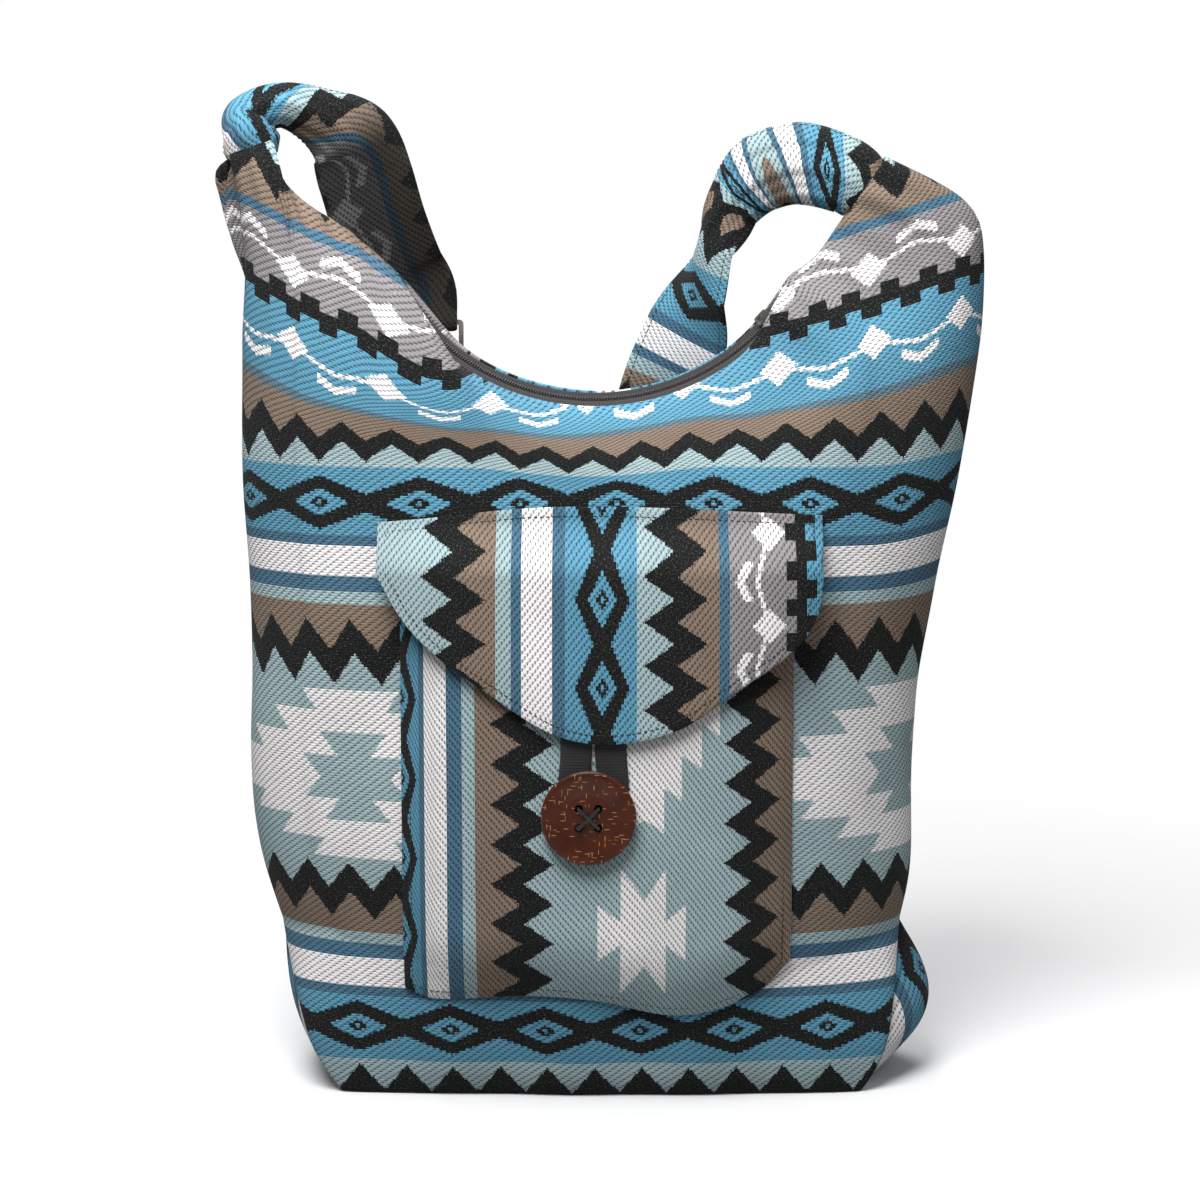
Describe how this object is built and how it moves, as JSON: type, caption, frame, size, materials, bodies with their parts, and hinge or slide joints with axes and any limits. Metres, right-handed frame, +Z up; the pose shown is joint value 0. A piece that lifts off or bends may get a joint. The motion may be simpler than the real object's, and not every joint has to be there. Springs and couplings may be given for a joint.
{
  "type": "woven crossbody bag",
  "caption": "Soft hobo crossbody bag of patterned woven cloth with a zipped curved mouth, a buttoned front pocket and an adjustable shoulder strap.",
  "frame": {"origin": "on the flat underside of the base, in the plane of the side seams", "axes": "+Z up, -Y out of the front with the pocket, +X to the right as seen from the front"},
  "size_m": [0.4058, 0.2167, 0.5394],
  "materials": {
    "woven_cloth": "thick jacquard cotton with stripes and zigzags in blue, black, taupe, white, grey and pale teal",
    "lining_cloth": "plain black cotton",
    "loop_tape": "black grosgrain tape with a slight sheen",
    "thread": "black waxed thread",
    "coconut_shell": "polished coconut shell with pale flecks",
    "zip_tape": "charcoal woven zip tape",
    "zip_teeth": "charcoal nylon coil",
    "zip_metal": "satin nickel",
    "strap_metal": "bright nickel wire"
  },
  "bodies": {
    "bag": {"front_panel": "woven_cloth", "back_panel": "woven_cloth", "base_gusset": "woven_cloth", "pocket_panel": "woven_cloth", "pocket_flap": "woven_cloth", "strap_short": "woven_cloth", "strap_long": "woven_cloth", "lining_front": "lining_cloth", "lining_back": "lining_cloth", "flap_lining": "lining_cloth", "button_loop": "loop_tape", "button": "coconut_shell", "button_thread": "thread", "zip_tape_front": "zip_tape", "zip_tape_back": "zip_tape", "zip_teeth_front": "zip_teeth", "zip_teeth_back": "zip_teeth", "strap_ring": "strap_metal", "strap_adjuster": "strap_metal"},
    "zip_slider": {"zip_slider": "zip_metal"},
    "zip_pull": {"zip_pull": "zip_metal"}
  },
  "joints": [
    {"name": "slider_travel", "type": "hinge", "parent": "bag", "child": "zip_slider", "pos_m": [-0.003, 0, 0.4965], "axis": [0, 1, 0], "range_deg": [0, 96]},
    {"name": "pull_swing", "type": "hinge", "parent": "zip_slider", "child": "zip_pull", "pos_m": [0.08681, 0, 0.41564], "axis": [0, -1, 0], "range_deg": [0, 150]}
  ]
}
